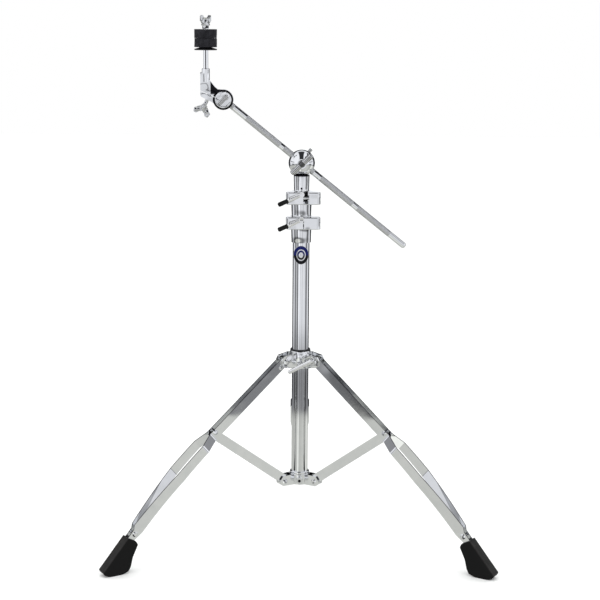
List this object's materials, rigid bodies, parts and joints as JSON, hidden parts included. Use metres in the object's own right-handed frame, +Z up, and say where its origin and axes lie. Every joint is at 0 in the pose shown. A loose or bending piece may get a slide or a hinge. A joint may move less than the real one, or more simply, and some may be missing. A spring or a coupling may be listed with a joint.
{
  "type": "cymbal boom stand",
  "caption": "Folding double-braced tripod stand with telescoping column, ball-jointed knurled boom arm and a tilting cymbal rod with felts.",
  "frame": {"origin": "on the floor, under the middle of the bounding box", "axes": "+Z up the column; +X to the right seen from the front, away from the cymbal rod; +Y to the back, along the rear leg"},
  "size_m": [0.6558, 0.568, 0.9046],
  "materials": {
    "chrome": "polished chrome plate",
    "knurled_steel": "finely knurled, matt, with polished stretches",
    "black_rubber": "moulded, satin, ribbed toe on the feet",
    "black_plastic": "moulded, satin",
    "felt": "charcoal felt",
    "badge": "dark blue and black rings with bright rims"
  },
  "bodies": {
    "mast": {"base_tube": "chrome", "badge": "badge", "lower_hub": "chrome", "lower_hub_collar": "black_plastic", "lower_hub_set_screw": "chrome", "lower_hub_rivets": "chrome", "base_clamp_body": "chrome", "base_clamp_sleeve": "black_plastic", "base_clamp_bolt": "chrome", "base_clamp_pin": "chrome"},
    "base_lever": {"base_clamp_lever": "chrome", "base_clamp_grip": "black_rubber"},
    "middle": {"middle_tube": "chrome", "middle_clamp_body": "chrome", "middle_clamp_bolt": "chrome", "middle_clamp_pin": "chrome"},
    "middle_lever": {"middle_clamp_lever": "chrome", "middle_clamp_grip": "black_rubber"},
    "swivel": {"middle_clamp_sleeve": "black_plastic"},
    "top": {"top_tube": "chrome", "tilter_base": "chrome", "tilter_set_screw": "chrome"},
    "ball": {"ball_shell": "chrome", "ball_eye_bolt": "chrome"},
    "ball_nut": {"ball_wing_nut": "chrome"},
    "ball_screw": {"ball_hand_screw": "chrome"},
    "arm": {"boom_arm": "knurled_steel", "tilter_drum": "chrome", "tilter_drum_bar": "chrome"},
    "rod_clamp": {"cymbal_rod_clamp": "chrome", "cymbal_rod": "chrome", "cup_washer": "black_plastic", "cymbal_sleeve": "black_plastic", "lower_felt": "felt", "upper_felt": "felt"},
    "wing_bolt": {"tilter_wing_bolt": "chrome"},
    "wing_nut": {"cymbal_wing_nut": "chrome"},
    "upper_hub": {"upper_hub": "chrome", "upper_hub_sleeve": "black_plastic", "upper_hub_rivets": "chrome"},
    "hub_screw": {"upper_hub_wing_screw": "chrome"},
    "left_brace": {"left_brace": "chrome"},
    "left_leg": {"left_leg_strip_a": "chrome", "left_leg_strip_b": "chrome", "left_leg_rivets": "chrome", "left_foot": "black_rubber"},
    "right_brace": {"right_brace": "chrome"},
    "right_leg": {"right_leg_strip_a": "chrome", "right_leg_strip_b": "chrome", "right_leg_rivets": "chrome", "right_foot": "black_rubber"},
    "back_brace": {"back_brace": "chrome"},
    "back_leg": {"back_leg_strip_a": "chrome", "back_leg_strip_b": "chrome", "back_leg_rivets": "chrome", "back_foot": "black_rubber"}
  },
  "joints": [
    {"name": "left_brace_fold", "type": "hinge", "parent": "mast", "child": "left_brace", "pos_m": [-0.02858, -0.1059, 0.1115], "axis": [-0.5, 0.866, 0], "range_deg": [0, 42]},
    {"name": "left_knee", "type": "hinge", "parent": "left_brace", "child": "left_leg", "pos_m": [-0.14463, -0.1729, 0.21825], "axis": [-0.5, 0.866, 0], "range_deg": [-84, 0]},
    {"name": "right_brace_fold", "type": "hinge", "parent": "mast", "child": "right_brace", "pos_m": [0.02858, -0.1059, 0.1115], "axis": [-0.5, -0.866, 0], "range_deg": [0, 42]},
    {"name": "right_knee", "type": "hinge", "parent": "right_brace", "child": "right_leg", "pos_m": [0.14463, -0.1729, 0.21825], "axis": [-0.5, -0.866, 0], "range_deg": [-84, 0]},
    {"name": "back_brace_fold", "type": "hinge", "parent": "mast", "child": "back_brace", "pos_m": [0, -0.0564, 0.1115], "axis": [1, 0, 0], "range_deg": [0, 42]},
    {"name": "back_knee", "type": "hinge", "parent": "back_brace", "child": "back_leg", "pos_m": [0, 0.0776, 0.21825], "axis": [1, 0, 0], "range_deg": [-84, 0]},
    {"name": "hub_rise", "type": "hinge", "parent": "left_leg", "child": "upper_hub", "pos_m": [-0.02858, -0.1059, 0.325], "axis": [-0.5, 0.866, 0], "range_deg": [0, 42]},
    {"name": "hub_screw_turn", "type": "hinge", "parent": "upper_hub", "child": "hub_screw", "pos_m": [0, -0.0894, 0.3195], "axis": [0, 1, 0], "continuous": true},
    {"name": "base_lever_swing", "type": "hinge", "parent": "mast", "child": "base_lever", "pos_m": [0.0005, -0.117, 0.5702], "axis": [0, 1, 0], "range_deg": [-80, 0]},
    {"name": "middle_height", "type": "slide", "parent": "mast", "child": "middle", "axis": [0, 0, 1], "range_m": [0, 0.26]},
    {"name": "middle_lever_swing", "type": "hinge", "parent": "middle", "child": "middle_lever", "pos_m": [0.0005, -0.117, 0.6122], "axis": [0, 1, 0], "range_deg": [0, 60]},
    {"name": "boom_swivel", "type": "hinge", "parent": "middle", "child": "swivel", "pos_m": [0, -0.0894, 0.6064], "axis": [0, 0, 1], "continuous": true},
    {"name": "top_height", "type": "slide", "parent": "swivel", "child": "top", "axis": [0, 0, 1], "range_m": [0, 0.24]},
    {"name": "boom_tilt", "type": "hinge", "parent": "top", "child": "ball", "pos_m": [0, -0.0894, 0.6626], "axis": [0, 1, 0], "range_deg": [-80, 3]},
    {"name": "ball_nut_turn", "type": "hinge", "parent": "ball", "child": "ball_nut", "pos_m": [0, -0.0653, 0.6626], "axis": [0, 1, 0], "continuous": true},
    {"name": "ball_screw_turn", "type": "hinge", "parent": "ball", "child": "ball_screw", "pos_m": [0, -0.1194, 0.6626], "axis": [0, 1, 0], "continuous": true},
    {"name": "arm_slide", "type": "slide", "parent": "ball", "child": "arm", "axis": [0.7804, 0, -0.6252], "range_m": [-0.19, 0.095]},
    {"name": "rod_tilt", "type": "hinge", "parent": "arm", "child": "rod_clamp", "pos_m": [-0.13072, -0.0894, 0.76733], "axis": [0, 1, 0], "range_deg": [-75, 75]},
    {"name": "wing_bolt_turn", "type": "hinge", "parent": "rod_clamp", "child": "wing_bolt", "pos_m": [-0.15772, -0.1003, 0.7665], "axis": [-0.4202, 0, -0.9074], "continuous": true},
    {"name": "wing_nut_turn", "type": "hinge", "parent": "rod_clamp", "child": "wing_nut", "pos_m": [-0.15952, -0.1003, 0.89], "axis": [0, 0, 1], "continuous": true}
  ],
  "couplings": [
    {"joint": "right_brace_fold", "follows": "left_brace_fold", "ratio": 1},
    {"joint": "back_brace_fold", "follows": "left_brace_fold", "ratio": 1},
    {"joint": "left_knee", "follows": "left_brace_fold", "ratio": -2},
    {"joint": "right_knee", "follows": "left_brace_fold", "ratio": -2},
    {"joint": "back_knee", "follows": "left_brace_fold", "ratio": -2},
    {"joint": "hub_rise", "follows": "left_brace_fold", "ratio": 1}
  ]
}
